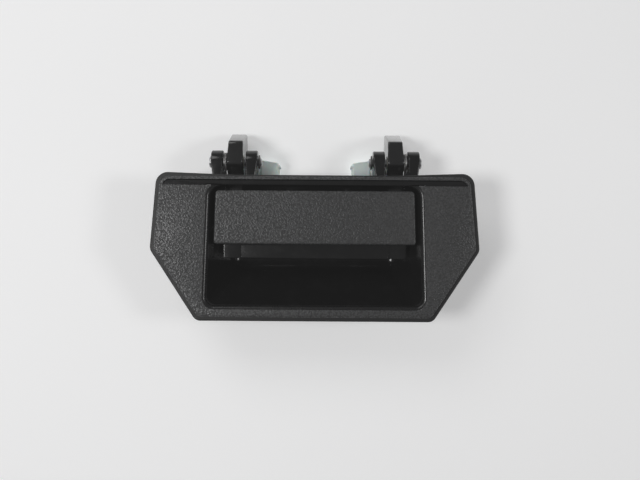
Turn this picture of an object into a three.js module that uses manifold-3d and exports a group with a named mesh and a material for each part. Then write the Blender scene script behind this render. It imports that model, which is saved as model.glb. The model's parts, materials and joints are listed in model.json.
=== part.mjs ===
// Pull handle for a pickup's rear door: a moulded housing with a finger recess, a paddle on two
// bell-crank levers that turn on pins at the housing's top, return springs, and rod clips.
//
// Millimetres. +X to the right seen from outside, +Y into the door, +Z up. The origin is the
// centre of the cut-out in the door's outer skin, in the plane that the gasket seals against.
import * as THREE from 'three';
import { mergeVertices } from 'three/addons/utils/BufferGeometryUtils.js';
import Module from 'manifold-3d';

const wasm = await Module();
wasm.setup();

// ---- Driving dimensions -------------------------------------------------------------------

const FIT = 0.3; // gap between pieces that touch
const ROOT = 0.2; // how far a joined solid runs into its neighbour
const PAST = 1; // how far a cutting tool runs past the face it cuts
const ARC_STEPS = 4; // segments in a rounded corner
const ROUND_SIDES = 20; // sides of a bore or a shaft

// Housing face
const FACE_WIDTH = 185; // across the side corners
const FACE_HEIGHT = 82;
const FACE_PROUD = 8; // front face ahead of the door's skin
const TOP_SET_IN = 3.6; // top corner, inside the side corner, on each side
const SIDE_CORNER_DROP = 1.1; // side corner, below the middle
const SHOULDER_RISE = 1.5; // flange's top corners, above its top middle
const SHOULDER_SET_IN = 14; // the rise starts here, inboard of the opening's head
const FLANGE_STEP = 2.5; // flange outline, outside the front plate
const FLANGE_TOP_STEP = 1.1; // the same, at its top middle
const PLATE = 3; // front plate's thickness
const WALL = 2.5;
const BAND_TOP = 2.8; // smooth band across the top, from the top edge
const BAND_HEIGHT = 3.2;
const BAND_DEEP = 1;
const BAND_BEAD = 0.9; // left standing at each end of it
const CORNER = 5; // outline's corner radius

// Finger recess
const OPENING_WIDTH = 122; // at its foot
const OPENING_NARROWING = 2; // on each side, at its head
const TOP_RAIL = 5.8;
const BOTTOM_RAIL = 8.4;
const BOTTOM_SHOULDER = 5.5; // housing's bottom corner, outside the recess
const OPENING_CORNER = 5; // at its foot
const OPENING_TOP_CORNER = 7;
const RECESS_DEPTH = 36; // from the housing's face
const SIDE_DRAFT = 1 / 3; // inward for each millimetre of depth
const FLOOR_RISE = 23.6; // from the lower lip to the back
const FLOOR_SAG = 4;
const BACK_WALL = 17.5; // height of the recess's back
const ROOF_LEVEL = 0.5; // the roof is level to here, ahead of the flange's back, then slopes down

// Gasket
const GASKET = 1.5;
const GASKET_WIDTH = 5;
const GASKET_TOP_WIDTH = 2.4;
const GASKET_SET_IN = 0.5;

// Pivot
const PIVOT_ABOVE_TOP = 8.4;
const PIVOT_BEHIND_SKIN = 9;
const PIN_RADIUS = 2.5;
const PIN_HEAD_RADIUS = 3.2;
const PIN_HEAD = 1.4;
const KNUCKLE_RADIUS = 6.8;
const OUTER_KNUCKLE = 6.6; // widths along X
const INNER_KNUCKLE = 6.7;
const LEVER_WIDTH = 9.4;
const LEVER_SET_IN = 12.9; // its middle, inboard of the opening's head
const LEVER_SIDE_GAP = 1.5; // to the inner knuckle
const BUSH_WALL = 0.8;
const RING_THICKNESS = 0.7;
const RING_REACH = 1.8; // outside the pin
const RING_GROOVE = 0.6;
const PIN_END = 1; // beyond the ring's groove
const TURN_RADIUS = 22.8; // the paddle and its levers pass the top rail outside this radius
const ARM_FRONT = -2; // rear of this, from the pivot, the arm clears the rail
const ARM_BACK = 6;

// Return spring
const WIRE_RADIUS = 0.4;
const COIL_RADIUS = 5.2;
const COIL_TURNS = 1.5;
const COIL_GAP = 0.05; // between its turns
const COIL_SIDE_GAP = 0.15; // to the lever and the outer knuckle
const HOOK_DROP = 5; // tower hook, below the knuckle
const HOOK_LENGTH = 4;
const LEVER_LEG_DROP = 9.4; // leg under the lever, below the pivot
const LEVER_LEG_BACK = 12; // behind the pivot
const LEVER_HOOK = 4.5;

// Paddle
const PADDLE_HEIGHT = 30.3;
const PADDLE_TOP_GAP = 2.8;
const PADDLE_SIDE_GAP = 3.3;
const PADDLE_SET_BACK = 1.5; // behind the housing's face
const PADDLE_WALL = 3;
const PADDLE_CORNER = 2.4;
const LIP_REACH = 11.5; // grip lip, behind the paddle's face
const LIP_DROP = 8.4;
const LIP_WALL = 2.4;
const LIP_ROOT = 0.4; // behind the paddle's face
const LIP_END_GAP = 4; // inboard of the paddle's ends
const PAD_THICKNESS = 3; // raised seats for the levers
const PAD_MARGIN = 1; // round a lever's foot

// Lever foot and its screws
const FOOT_HEIGHT = 16;
const FOOT_THICKNESS = 3;
const FOOT_WING = 13; // inboard of the lever
const FOOT_BELOW_TOP = 7.4; // below the paddle's top edge
const SCREW_RADIUS = 1.6;
const SCREW_HEAD_RADIUS = 3.4;
const SCREW_HEAD = 2.2;
const SCREW_LENGTH = 7;
const SCREW_SPACING = 8.5;
const SCREW_POINT = 1.4;

// Rod clip, in the lever's rear eye
const EYE_BEHIND_PIVOT = 18;
const EYE_BELOW_PIVOT = 3;
const EYE_WALL = 2.2;
const JOURNAL_SHOULDER = 1; // collar between the clip's body and the lever
const SNAP_RIM = 0.6; // snap head, outside the journal
const SNAP_HEAD = 1;
const JOURNAL_RADIUS = 3.4;
const CLIP_WIDTH = 10.8;
const CLIP_HEIGHT_UP = 6;
const CLIP_HEIGHT_DOWN = 8;
const CLIP_DEPTH = 10;
const CLIP_TOP_SLOPE = 1.5;
const CLIP_LOW_CORNER = 1.5;
const CLIP_TOP_CORNER = 0.8;
const TAB_LENGTH = 1.2;
const TAB_LOW = 1.2; // above the rod's axis
const TAB_HIGH = 3;
const ROD_RADIUS = 2.1;

// Rest stop
const BUMPER = 1.4; // pad's thickness
const BUMPER_HEIGHT = 6;
const BUMPER_STEM_RADIUS = 1.4;
const BUMPER_SET_IN = 0.6; // inside the lever's sides
const STOP_RIB = 2.4;
const STOP_MARGIN = 1; // round the bumper
const SLOT_GAP = 0.4; // beside a lever, in the recess roof

// Mounting bosses
const BOSS_RADIUS = 6;
const INSERT_RADIUS = 3.6;
const INSERT_BORE = 2.1;
const INSERT_LENGTH = 4.4;
const INSERT_GROOVE = [1.6, 2, 2.6, 3]; // from its end: edge, foot, foot, edge
const INSERT_GROOVE_DEPTH = 0.4;
const BOSS_FROM_TOP = 20;
const LOWER_BOSS_FROM_BOTTOM = 32;
const RIB = 1.6;
const RIB_END = 8; // short of the housing's side
const BOSS_CLEAR = 1; // lower bosses to the recess wall

// Lever's side view, from the pivot: [to the back, up, corner radius]
const HUB_FRONT = [-6.9, -1.5, 4];
const HEAD_FRONT = [-6.3, 11.6, 2.4];
const HEAD_BACK = [19.5, 19.4, 3];
const NECK_DROP = 4; // hub below the pin, ahead of the arm
const ARM_BACK_DROP = 6; // the same, behind it
const EYE_HIGH = 8; // eye's back edge, above its axis
const EYE_UNDERCUT = 3; // below it, at the arm
const JAW = 2.1; // arm's side of the eye

// ---- Places worked out from them ------------------------------------------------------------

const face = -FACE_PROUD;
const plateBack = face + PLATE;
const flangeBack = -GASKET;
const top = FACE_HEIGHT / 2;
const bottom = -top;
const halfWidth = FACE_WIDTH / 2;
const openTop = top - TOP_RAIL;
const openBottom = bottom + BOTTOM_RAIL;
const openHalf = OPENING_WIDTH / 2;
const openHalfTop = openHalf - OPENING_NARROWING;
const recessBack = face + RECESS_DEPTH;
const floorBack = openBottom + FLOOR_RISE;
const roofBack = floorBack + BACK_WALL;
const roofFront = flangeBack + ROOF_LEVEL;
const pivot = { y: PIVOT_BEHIND_SKIN, z: top + PIVOT_ABOVE_TOP };
const leverMiddle = openHalfTop - LEVER_SET_IN;
const leverOut = leverMiddle + LEVER_WIDTH / 2;
const leverIn = leverMiddle - LEVER_WIDTH / 2;
const innerKnuckleOut = leverIn - LEVER_SIDE_GAP;
const innerKnuckleIn = innerKnuckleOut - INNER_KNUCKLE;
const coilStart = leverOut + COIL_SIDE_GAP + WIRE_RADIUS;
const coilEnd = coilStart + COIL_TURNS * (2 * WIRE_RADIUS + COIL_GAP);
const outerKnuckleIn = coilEnd + WIRE_RADIUS + COIL_SIDE_GAP;
const outerKnuckleOut = outerKnuckleIn + OUTER_KNUCKLE;
const paddleFront = face + PADDLE_SET_BACK;
const paddleBack = paddleFront + PADDLE_WALL;
const paddleTop = openTop - PADDLE_TOP_GAP;
const paddleBottom = paddleTop - PADDLE_HEIGHT;
const padBack = paddleBack + PAD_THICKNESS;
const footTop = paddleTop - FOOT_BELOW_TOP;
const footFront = padBack + FIT;
const footBack = footFront + FOOT_THICKNESS;
const footIn = leverIn - FOOT_WING;
const screwX = (footIn + leverIn) / 2;
const pinBore = PIN_RADIUS + FIT;
const hubBore = pinBore + BUSH_WALL + FIT;
const eyeBore = JOURNAL_RADIUS + FIT;
const eyeRadius = eyeBore + EYE_WALL;
const armBack = pivot.y + ARM_BACK;
const stopFront = armBack + FIT + BUMPER + FIT;
const roofSlope = (openTop - roofBack) / (recessBack - roofFront);
const webTop = Math.min(openTop + WALL, pivot.z - LEVER_LEG_DROP - 2 * (WIRE_RADIUS + FIT));
const bumperZ = Math.max(footTop, roofAt(stopFront) + WALL + BUMPER_HEIGHT / 2 + STOP_MARGIN);

function roofAt(y) {
  return openTop - roofSlope * Math.max(0, y - roofFront);
}

// Half the housing's width at a height.
function sideAt(z) {
  const bottomHalf = openHalf + BOTTOM_SHOULDER;
  if (z > -SIDE_CORNER_DROP) {
    return halfWidth - TOP_SET_IN * (z + SIDE_CORNER_DROP) / (top + SIDE_CORNER_DROP);
  }
  return bottomHalf + (halfWidth - bottomHalf) * (z - bottom) / (-SIDE_CORNER_DROP - bottom);
}

function openHalfAt(z) {
  return openHalf - OPENING_NARROWING * (z - openBottom) / (openTop - openBottom);
}

// ---- Materials ------------------------------------------------------------------------------

function finish(color, roughness, metalness = 0) {
  return () => new THREE.MeshStandardMaterial({ color, roughness, metalness });
}

const grainedPlastic = finish(0x17181a, 0.62);
const leverPaint = finish(0x101113, 0.3);
const naturalNylon = finish(0xb9c2bd, 0.45);
const bushNylon = finish(0xd8d6cc, 0.5);
const zincSteel = finish(0xb4b6b8, 0.32, 1);
const springSteel = finish(0x9a9c9e, 0.3, 1);
const brass = finish(0xb58e45, 0.35, 1);
const rubber = finish(0x1a1a1a, 0.85);
const foam = finish(0x1d1d1e, 0.95);

// ---- Solids ---------------------------------------------------------------------------------

function solid(geometry) {
  const bare = geometry.index ? geometry.toNonIndexed() : geometry.clone();
  bare.deleteAttribute('normal');
  bare.deleteAttribute('uv');
  const merged = mergeVertices(bare, 1e-4);
  const mesh = new wasm.Mesh({
    numProp: 3,
    vertProperties: new Float32Array(merged.attributes.position.array),
    triVerts: new Uint32Array(merged.index.array),
  });
  return new wasm.Manifold(mesh);
}

function geometryOf(body) {
  const mesh = body.getMesh();
  const geometry = new THREE.BufferGeometry();
  geometry.setAttribute('position', new THREE.BufferAttribute(mesh.vertProperties, 3));
  geometry.setIndex(new THREE.BufferAttribute(mesh.triVerts, 1));
  geometry.computeVertexNormals();
  return geometry;
}

const joined = (...bodies) => bodies.reduce((whole, body) => whole.add(body));
const cut = (body, ...tools) => tools.reduce((rest, tool) => rest.subtract(tool), body);

// A closed outline from corners [a, b, radius], each rounded by its radius.
function outline(corners) {
  const shape = new THREE.Shape();
  const count = corners.length;
  corners.forEach(([a, b, radius = 0], i) => {
    const corner = new THREE.Vector2(a, b);
    const before = new THREE.Vector2(...corners[(i + count - 1) % count]);
    const after = new THREE.Vector2(...corners[(i + 1) % count]);
    const toBefore = before.sub(corner);
    const toAfter = after.sub(corner);
    const half = Math.abs(toBefore.angleTo(toAfter)) / 2;
    const reach = radius / Math.tan(half);
    const start = corner.clone().addScaledVector(toBefore.normalize(), reach);
    const end = corner.clone().addScaledVector(toAfter.normalize(), reach);
    if (i === 0) shape.moveTo(start.x, start.y);
    else shape.lineTo(start.x, start.y);
    if (radius > 0) shape.quadraticCurveTo(a, b, end.x, end.y);
  });
  shape.closePath();
  return shape;
}

function circle(radius, a = 0, b = 0) {
  const shape = new THREE.Shape();
  shape.absarc(a, b, radius, 0, 2 * Math.PI);
  return shape;
}

function extruded(shape, depth, curveSegments) {
  return new THREE.ExtrudeGeometry(shape, { depth, bevelEnabled: false, curveSegments });
}

// A shape drawn in X and Z, filling from the plane y = front back to y = back.
function throughY(shape, front, back, steps = ARC_STEPS) {
  const geometry = extruded(shape, back - front, steps);
  return geometry.rotateX(Math.PI / 2).translate(0, back, 0);
}

// A shape drawn in Y and Z, filling from x = low to x = high.
function throughX(shape, low, high, steps = ARC_STEPS) {
  const geometry = extruded(shape, high - low, steps);
  const turn = new THREE.Matrix4().makeBasis(
    new THREE.Vector3(0, 1, 0),
    new THREE.Vector3(0, 0, 1),
    new THREE.Vector3(1, 0, 0),
  );
  return geometry.applyMatrix4(turn).translate(low, 0, 0);
}

// The same span of x, on the side that is +1 or -1.
function onSide(side, near, far) {
  return [Math.min(side * near, side * far), Math.max(side * near, side * far)];
}

function barX(side, near, far, radius, y = 0, z = 0, sides = ROUND_SIDES) {
  const bar = new THREE.CylinderGeometry(radius, radius, far - near, sides);
  return bar.rotateZ(Math.PI / 2).translate(side * (near + far) / 2, y, z);
}

function barY(front, back, radius, x, z, sides = ROUND_SIDES) {
  const bar = new THREE.CylinderGeometry(radius, radius, back - front, sides);
  return bar.translate(0, (front + back) / 2, 0).translate(x, 0, z);
}

function block([x0, x1], [y0, y1], [z0, z1]) {
  const box = new THREE.BoxGeometry(x1 - x0, y1 - y0, z1 - z0);
  return box.translate((x0 + x1) / 2, (y0 + y1) / 2, (z0 + z1) / 2);
}

// ---- Housing --------------------------------------------------------------------------------

// The housing's outline, drawn inside the flange's edge by the given amounts.
function housingOutline(inset, topInset = inset, bottomInset = inset, shoulder = 0) {
  const bottomHalf = openHalf + BOTTOM_SHOULDER;
  const diagonal = Math.atan2(halfWidth - bottomHalf, top - SIDE_CORNER_DROP);
  const slantInset = inset / Math.cos(diagonal);
  const foot = bottomHalf - slantInset + bottomInset * Math.tan(diagonal);
  const sideZ = -SIDE_CORNER_DROP + inset * Math.tan(diagonal / 2);
  const radius = Math.max(CORNER - inset / 2, 1);
  const right = [
    [foot, bottom + bottomInset, radius],
    [halfWidth - inset, sideZ, radius],
    [halfWidth - TOP_SET_IN - inset, top + shoulder - topInset, radius],
  ];
  if (shoulder > 0) right.push([openHalfTop - SHOULDER_SET_IN, top - topInset]);
  const left = right.map(([x, z, r]) => [-x, z, r]).reverse();
  return outline([...right, ...left]);
}

function openingOutline() {
  return outline([
    [openHalf, openBottom, OPENING_CORNER],
    [openHalfTop, openTop, OPENING_TOP_CORNER],
    [-openHalfTop, openTop, OPENING_TOP_CORNER],
    [-openHalf, openBottom, OPENING_CORNER],
  ]);
}

// The recess as a solid, larger all round by grow; its sides draw in towards the back.
function recessSolid(front, grow) {
  const profile = new THREE.Shape();
  profile.moveTo(front, openBottom - grow);
  if (front < face) profile.lineTo(face, openBottom - grow);
  profile.quadraticCurveTo(
    (face + recessBack) / 2 + grow,
    (openBottom + floorBack) / 2 - FLOOR_SAG - grow,
    recessBack + grow,
    floorBack - grow,
  );
  profile.lineTo(recessBack + grow, roofBack + grow);
  profile.lineTo(roofFront, openTop + grow);
  profile.lineTo(front, openTop + grow);
  const geometry = throughX(profile, -1, 1, 2 * ARC_STEPS);
  const place = geometry.attributes.position;
  for (let i = 0; i < place.count; i += 1) {
    const depth = Math.max(place.getY(i), face) - face;
    const half = openHalfAt(place.getZ(i)) + grow - SIDE_DRAFT * depth;
    place.setX(i, place.getX(i) * half);
  }
  return solid(geometry);
}

function towerProfile() {
  const { y, z } = pivot;
  const foot = roofAt(y + KNUCKLE_RADIUS);
  return outline([
    [y - KNUCKLE_RADIUS, z],
    [y - KNUCKLE_RADIUS, top - WALL - ROOT],
    [plateBack - ROOT, openTop + WALL / 2],
    [plateBack - ROOT, openTop - KNUCKLE_RADIUS],
    [y, foot - WALL],
    [y + KNUCKLE_RADIUS, foot],
    [y + KNUCKLE_RADIUS, z],
  ]);
}

function knuckle(side, near, far) {
  const [low, high] = onSide(side, near, far);
  const tower = solid(throughX(towerProfile(), low, high));
  return tower.add(solid(barX(side, near, far, KNUCKLE_RADIUS, pivot.y, pivot.z)));
}

function bossPlaces() {
  const x = (halfWidth + openHalf) / 2;
  const high = top - BOSS_FROM_TOP;
  const low = bottom + LOWER_BOSS_FROM_BOTTOM;
  const lowX = openHalf + WALL + BOSS_RADIUS + BOSS_CLEAR;
  return [-1, 1].flatMap((side) => [
    { name: side < 0 ? 'left_upper' : 'right_upper', x: side * x, z: high },
    { name: side < 0 ? 'left_lower' : 'right_lower', x: side * lowX, z: low },
  ]);
}

function stopRib(side) {
  const [low, high] = onSide(side, innerKnuckleOut - ROOT, outerKnuckleIn + ROOT);
  const foot = roofAt(stopFront + STOP_RIB);
  const head = bumperZ + BUMPER_HEIGHT / 2 + STOP_MARGIN;
  return solid(block([low, high], [stopFront, stopFront + STOP_RIB], [foot, head]));
}

// Closes the gap beside the lever, from the slot in the roof to the outer tower.
function towerWeb(side) {
  const [low, high] = onSide(side, leverOut + SLOT_GAP, outerKnuckleIn + ROOT);
  const reach = [pivot.y - KNUCKLE_RADIUS, pivot.y + KNUCKLE_RADIUS];
  return solid(block([low, high], reach, [roofAt(reach[1]), webTop]));
}

function slotCut(side) {
  const [low, high] = onSide(side, leverIn - SLOT_GAP, leverOut + SLOT_GAP);
  const slotFront = plateBack + ROOT;
  return solid(block([low, high], [slotFront, stopFront], [roofBack, top - WALL]));
}

function stemBore(side) {
  const [front, back] = [stopFront - PAST, stopFront + STOP_RIB + PAST];
  return solid(barY(front, back, BUMPER_STEM_RADIUS + FIT, side * leverMiddle, bumperZ));
}

function wingRibs(side) {
  return bossPlaces()
    .filter(({ x }) => x * side > 0)
    .map(({ z }) => {
      const [low, high] = onSide(side, openHalf - WALL, sideAt(z) - WALL - RIB_END);
      const depth = [plateBack - ROOT, flangeBack - RIB / 2];
      return solid(block([low, high], depth, [z - RIB / 2, z + RIB / 2]));
    });
}

function housing() {
  const flange = solid(throughY(housingOutline(0, 0, 0, SHOULDER_RISE), plateBack, flangeBack));
  const plate = solid(throughY(housingOutline(FLANGE_STEP, FLANGE_TOP_STEP), face, plateBack + ROOT));
  const hollow = solid(throughY(
    housingOutline(FLANGE_STEP + WALL, FLANGE_TOP_STEP + WALL),
    plateBack,
    flangeBack + PAST,
  ));
  const bandLow = top - BAND_TOP - BAND_HEIGHT;
  const bandHalf = halfWidth - TOP_SET_IN - FLANGE_STEP - BAND_BEAD;
  const overPaddle = openHalfTop - OPENING_TOP_CORNER / 2;
  const band = solid(
    block([-bandHalf, bandHalf], [face - PAST, face + BAND_DEEP], [bandLow, top - BAND_TOP]),
  );
  const bandOverPaddle = solid(
    block([-overPaddle, overPaddle], [face - PAST, face + BAND_DEEP], [openTop - PAST, bandLow + ROOT]),
  );
  const shell = joined(
    cut(flange.add(plate), hollow, band, bandOverPaddle),
    recessSolid(face + PLATE / 2, WALL),
    ...[-1, 1].flatMap((side) => [
      knuckle(side, innerKnuckleIn, innerKnuckleOut),
      knuckle(side, outerKnuckleIn, outerKnuckleOut),
      stopRib(side),
      towerWeb(side),
      ...wingRibs(side),
    ]),
    ...bossPlaces().map(({ x, z }) => solid(barY(plateBack - ROOT, 0, BOSS_RADIUS, x, z))),
  );
  const cavity = recessSolid(face - PAST, 0);
  const mouth = solid(throughY(openingOutline(), face - PAST, recessBack + PAST));
  return cut(
    shell,
    cavity.intersect(mouth),
    ...[-1, 1].flatMap((side) => [
      slotCut(side),
      solid(barX(side, innerKnuckleIn - PAST, outerKnuckleOut + PAST, pinBore, pivot.y, pivot.z)),
      stemBore(side),
    ]),
    ...bossPlaces().map(({ x, z }) => (
      solid(barY(-INSERT_LENGTH - FIT, PAST, INSERT_RADIUS + FIT, x, z))
    )),
  );
}

function gasket() {
  const outer = housingOutline(GASKET_SET_IN, GASKET_SET_IN, GASKET_SET_IN, SHOULDER_RISE);
  const inner = housingOutline(
    GASKET_SET_IN + GASKET_WIDTH,
    GASKET_SET_IN + GASKET_TOP_WIDTH,
    GASKET_SET_IN + GASKET_WIDTH,
  );
  const sheet = solid(throughY(outer, flangeBack + FIT / 2, 0));
  return cut(
    sheet,
    solid(throughY(inner, flangeBack - PAST, PAST)),
    recessSolid(face + PLATE / 2, WALL + FIT / 2),
    ...bossPlaces().map(({ x, z }) => (
      solid(barY(flangeBack - PAST, PAST, BOSS_RADIUS + FIT / 2, x, z))
    )),
  );
}

function insert() {
  const [edge, foot, farFoot, farEdge] = INSERT_GROOVE;
  const waist = INSERT_RADIUS - INSERT_GROOVE_DEPTH;
  const profile = [
    [INSERT_BORE, 0],
    [INSERT_RADIUS, 0],
    [INSERT_RADIUS, -edge],
    [waist, -foot],
    [waist, -farFoot],
    [INSERT_RADIUS, -farEdge],
    [INSERT_RADIUS, -INSERT_LENGTH],
    [INSERT_BORE, -INSERT_LENGTH],
    [INSERT_BORE, 0],
  ].reverse();
  const points = profile.map(([radius, y]) => new THREE.Vector2(radius, y));
  return solid(new THREE.LatheGeometry(points, ROUND_SIDES));
}

// ---- Paddle ---------------------------------------------------------------------------------

// Everything inside the turning radius of the top rail, for the paddle's whole width.
function railClearance() {
  return solid(barX(1, -FACE_WIDTH, FACE_WIDTH, TURN_RADIUS, pivot.y, pivot.z, 3 * ROUND_SIDES));
}

function paddleHalfAt(z) {
  return openHalfAt(z) - PADDLE_SIDE_GAP;
}

function lip() {
  const lipBack = paddleFront + LIP_REACH;
  const lipLow = paddleBottom - LIP_DROP;
  const profile = outline([
    [paddleFront + LIP_ROOT, paddleBottom + ROOT],
    [lipBack - LIP_WALL, paddleBottom + ROOT, 1],
    [lipBack - LIP_WALL, lipLow, 0.8],
    [lipBack, lipLow, 0.8],
    [lipBack, paddleBottom + 1.2 * LIP_WALL, 1.5],
    [paddleBack, paddleBottom + 1.2 * LIP_WALL],
    [paddleFront + LIP_ROOT, paddleBottom + 2 * LIP_WALL],
  ]);
  const half = paddleHalfAt(paddleBottom) - LIP_END_GAP;
  return solid(throughX(profile, -half, half));
}

function screwHeights() {
  const middle = footTop - FOOT_HEIGHT / 2;
  return { lower: middle - SCREW_SPACING / 2, upper: middle + SCREW_SPACING / 2 };
}

function paddle() {
  const plateShape = outline([
    [paddleHalfAt(paddleBottom), paddleBottom, PADDLE_CORNER],
    [paddleHalfAt(paddleTop), paddleTop, PADDLE_CORNER],
    [-paddleHalfAt(paddleTop), paddleTop, PADDLE_CORNER],
    [-paddleHalfAt(paddleBottom), paddleBottom, PADDLE_CORNER],
  ]);
  const seats = [-1, 1].map((side) => solid(block(
    onSide(side, footIn - PAD_MARGIN, leverOut + PAD_MARGIN),
    [paddleBack - ROOT, padBack],
    [footTop - FOOT_HEIGHT - PAD_MARGIN, footTop + PAD_MARGIN],
  )));
  const holes = [-1, 1].flatMap((side) => Object.values(screwHeights()).map((z) => (
    solid(barY(footBack - SCREW_LENGTH - FIT, footBack, SCREW_RADIUS + FIT, side * screwX, z))
  )));
  const body = joined(solid(throughY(plateShape, paddleFront, paddleBack)), lip(), ...seats);
  return cut(body, railClearance(), ...holes);
}

// ---- Levers and what they carry -------------------------------------------------------------

// Side view of a lever about the pivot: Y to the back, Z up.
function leverProfile() {
  const footTopRel = footTop - pivot.z;
  const footLowRel = footTopRel - FOOT_HEIGHT;
  const front = footFront - pivot.y;
  const neck = -Math.sqrt(TURN_RADIUS ** 2 - ARM_FRONT ** 2) - ROOT;
  const eyeY = EYE_BEHIND_PIVOT;
  const eyeZ = -EYE_BELOW_PIVOT;
  return outline([
    [front, footLowRel],
    [front, footTopRel],
    [ARM_FRONT, neck],
    [ARM_FRONT, -PIN_RADIUS - NECK_DROP],
    HUB_FRONT,
    HEAD_FRONT,
    HEAD_BACK,
    [eyeY + eyeRadius, eyeZ + EYE_HIGH, 3],
    [eyeY + eyeRadius, eyeZ - eyeRadius, 5],
    [eyeY - eyeRadius - JAW, eyeZ - EYE_UNDERCUT, 3],
    [ARM_BACK, -PIN_RADIUS - ARM_BACK_DROP, 2],
    [ARM_BACK, footTopRel - FOOT_THICKNESS, 5],
    [front + FOOT_THICKNESS, footLowRel + FOOT_THICKNESS, 3],
    [front + FOOT_THICKNESS, footLowRel],
  ]);
}

function lever(side) {
  const [low, high] = onSide(side, leverIn, leverOut);
  const foot = [footFront - pivot.y, footBack - pivot.y];
  const crank = solid(throughX(leverProfile(), low, high));
  const wing = solid(block(
    onSide(side, footIn, leverIn + ROOT),
    foot,
    [footTop - FOOT_HEIGHT - pivot.z, footTop - pivot.z],
  ));
  const holes = Object.values(screwHeights()).map((z) => solid(
    barY(foot[0] - PAST, foot[1] + PAST, SCREW_RADIUS + FIT, side * screwX, z - pivot.z),
  ));
  return cut(
    crank.add(wing),
    solid(barX(side, leverIn - PAST, leverOut + PAST, hubBore)),
    solid(barX(side, leverIn - PAST, leverOut + PAST, eyeBore, EYE_BEHIND_PIVOT, -EYE_BELOW_PIVOT)),
    ...holes,
  );
}

function bush(side) {
  const sleeve = solid(barX(side, leverIn - FIT, leverOut, hubBore - FIT));
  return sleeve.subtract(solid(barX(side, leverIn - PAST, leverOut + PAST, pinBore)));
}

function footScrew() {
  const head = footBack + FIT;
  const profile = [
    [0, head - SCREW_LENGTH],
    [SCREW_RADIUS / 2, head - SCREW_LENGTH],
    [SCREW_RADIUS, head - SCREW_LENGTH + SCREW_POINT],
    [SCREW_RADIUS, head],
    [SCREW_HEAD_RADIUS, head],
    [SCREW_HEAD_RADIUS, head + SCREW_HEAD / 2],
    [SCREW_HEAD_RADIUS / 2, head + SCREW_HEAD],
    [0, head + SCREW_HEAD],
  ];
  const points = profile.map(([radius, y]) => new THREE.Vector2(radius, y));
  return solid(new THREE.LatheGeometry(points, ROUND_SIDES));
}

function pivotPin(side) {
  const grooveOut = innerKnuckleIn - FIT;
  const grooveIn = grooveOut - RING_THICKNESS - FIT;
  const end = grooveIn - PIN_END;
  const headStart = outerKnuckleOut + FIT;
  return joined(
    solid(barX(side, end, grooveIn, PIN_RADIUS)),
    solid(barX(side, grooveIn - ROOT, grooveOut + ROOT, PIN_RADIUS - RING_GROOVE)),
    solid(barX(side, grooveOut, headStart + ROOT, PIN_RADIUS)),
    solid(barX(side, headStart, headStart + PIN_HEAD, PIN_HEAD_RADIUS)),
  );
}

function retainingRing(side) {
  const near = innerKnuckleIn - FIT - RING_THICKNESS - FIT / 2;
  const far = near + RING_THICKNESS;
  const shape = circle(PIN_RADIUS + RING_REACH);
  const [low, high] = onSide(side, near, far);
  const disc = solid(throughX(shape, low, high, ROUND_SIDES));
  const inner = PIN_RADIUS - RING_GROOVE + FIT;
  const mouth = block([low - PAST, high + PAST], [-inner, inner], [-2 * PIN_RADIUS, 0]);
  return cut(disc, solid(barX(side, near - PAST, far + PAST, inner)), solid(mouth));
}

// The spring's wire: a hook behind the tower, a leg up, the coil, and a leg under the lever.
function springPath(side) {
  const legY = KNUCKLE_RADIUS + FIT + WIRE_RADIUS;
  const hookZ = -KNUCKLE_RADIUS - HOOK_DROP;
  const bend = 3 * WIRE_RADIUS;
  const underLever = -LEVER_LEG_DROP - WIRE_RADIUS;
  const points = [
    [coilEnd + HOOK_LENGTH, legY, hookZ],
    [coilEnd + bend, legY, hookZ],
    [coilEnd, legY, hookZ + bend],
    [coilEnd, (legY + COIL_RADIUS) / 2, -COIL_RADIUS / 2],
  ];
  const steps = Math.round(COIL_TURNS * 12);
  for (let i = 0; i <= steps; i += 1) {
    const angle = 2 * Math.PI * COIL_TURNS * i / steps;
    points.push([
      coilEnd + (coilStart - coilEnd) * i / steps,
      COIL_RADIUS * Math.cos(angle),
      COIL_RADIUS * Math.sin(angle),
    ]);
  }
  points.push(
    [coilStart, -COIL_RADIUS * 0.6, -COIL_RADIUS],
    [coilStart, COIL_RADIUS / 2, underLever],
    [coilStart, LEVER_LEG_BACK - bend, underLever],
    [coilStart - bend, LEVER_LEG_BACK, underLever],
    [coilStart - LEVER_HOOK, LEVER_LEG_BACK, underLever],
  );
  return points.map(([x, y, z]) => new THREE.Vector3(side * x, y, z));
}

function returnSpring(side) {
  const path = new THREE.CatmullRomCurve3(springPath(side));
  const wire = circle(WIRE_RADIUS);
  const steps = 52;
  const options = { steps, extrudePath: path, curveSegments: 4, bevelEnabled: false };
  return solid(new THREE.ExtrudeGeometry(wire, options));
}

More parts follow.
